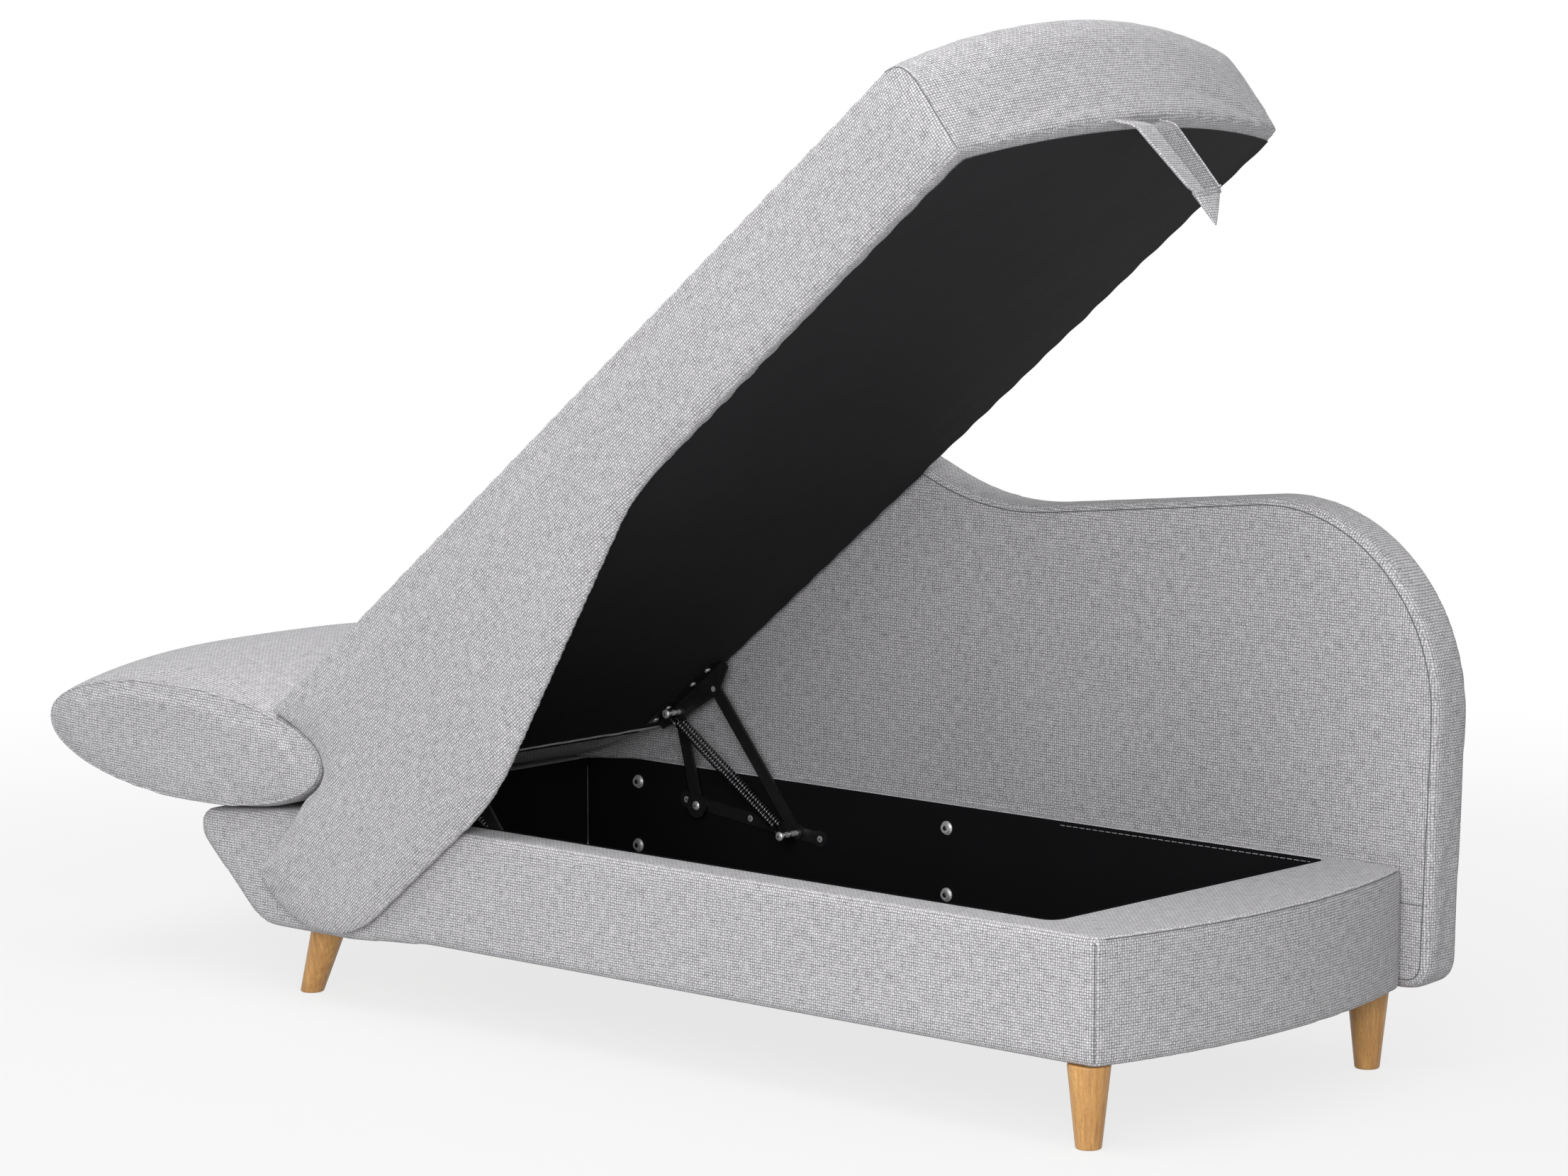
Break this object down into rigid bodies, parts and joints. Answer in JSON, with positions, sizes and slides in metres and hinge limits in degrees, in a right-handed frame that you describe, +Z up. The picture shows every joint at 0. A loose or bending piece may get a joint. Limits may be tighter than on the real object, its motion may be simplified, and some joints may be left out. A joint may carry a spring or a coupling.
{
  "type": "storage chaise longue",
  "caption": "Upholstered chaise longue with a wave-topped back, a raised elliptical headrest and a spring-lift padded lid that opens a lined storage box in its legged base.",
  "frame": {"origin": "on the floor, under the middle of the overall box with the lid open as pictured", "axes": "+X towards the foot end, +Y towards the back panel, +Z up"},
  "size_m": [1.9218, 0.717, 1.3389],
  "materials": {
    "grey_fabric": "light grey basket weave over foam",
    "black_lining": "black non-woven lining",
    "strap_webbing": "folded grey fabric band",
    "leg_wood": "clear satin lacquer",
    "board": "raw board",
    "black_steel": "black satin coat",
    "zinc_steel": "zinc plated",
    "spring_steel": "oiled spring wire"
  },
  "bodies": {
    "frame": {"front_rail": "board", "rear_rail": "board", "foot_rail": "board", "storage_floor": "board", "head_bulkhead": "board", "prow_shell": "board", "head_cross_rail": "board", "base_front_cover": "grey_fabric", "base_foot_cover": "grey_fabric", "base_head_cover": "grey_fabric", "rear_rim_cover": "grey_fabric", "storage_lining": "black_lining", "dust_cover": "black_lining", "foot_front_leg": "leg_wood", "foot_rear_leg": "leg_wood", "head_front_leg": "leg_wood", "head_rear_leg": "leg_wood", "leg_studs": "zinc_steel", "backrest_board": "board", "backrest_cushion": "grey_fabric", "backrest_rear_cover": "grey_fabric", "backrest_bolts": "zinc_steel", "backrest_washers": "zinc_steel", "rear_base_plate": "black_steel", "front_base_plate": "black_steel", "plate_screws": "zinc_steel", "long_arm_pins": "zinc_steel", "short_arm_pins": "zinc_steel", "short_arm_washers": "black_steel"},
    "long_arms": {"rear_long_arm": "black_steel", "front_long_arm": "black_steel", "rear_outer_spring": "spring_steel", "rear_inner_spring": "spring_steel", "front_outer_spring": "spring_steel", "front_inner_spring": "spring_steel"},
    "lid": {"lid_lining": "black_lining", "lid_front_rail": "board", "lid_rear_rail": "board", "lid_foot_rail": "board", "lid_head_rail": "board", "lid_slats": "board", "lid_deck": "board", "seat_cushion": "grey_fabric", "side_panel_board": "board", "side_panel_cover": "grey_fabric", "headrest_board": "board", "headrest_cushion": "grey_fabric", "headrest_end_front": "grey_fabric", "headrest_end_rear": "grey_fabric", "headrest_bolts": "zinc_steel", "pull_strap": "strap_webbing", "rear_lid_bracket": "black_steel", "front_lid_bracket": "black_steel", "bracket_screws": "zinc_steel", "lid_pivot_pins": "zinc_steel", "spring_pins": "zinc_steel"},
    "short_arms": {"rear_short_arm": "black_steel", "front_short_arm": "black_steel"}
  },
  "joints": [
    {"name": "long_arm_pivot", "type": "hinge", "parent": "frame", "child": "long_arms", "pos_m": [-0.10177, 0, 0.192], "axis": [0, -1, 0], "range_deg": [0, 38.96], "deforming": ["rear_outer_spring", "rear_inner_spring", "front_outer_spring", "front_inner_spring"]},
    {"name": "lid_pivot", "type": "hinge", "parent": "long_arms", "child": "lid", "pos_m": [-0.25462, 0, 0.3799], "axis": [0, 1, 0], "range_deg": [0, 78.01]},
    {"name": "short_arm_pivot", "type": "hinge", "parent": "lid", "child": "short_arms", "pos_m": [-0.31624, 0, 0.34158], "axis": [0, -1, 0], "range_deg": [0, 99.75]}
  ],
  "couplings": [
    {"joint": "lid_pivot", "follows": "long_arm_pivot", "ratio": 2.001},
    {"joint": "short_arm_pivot", "follows": "long_arm_pivot", "ratio": 2.559}
  ]
}
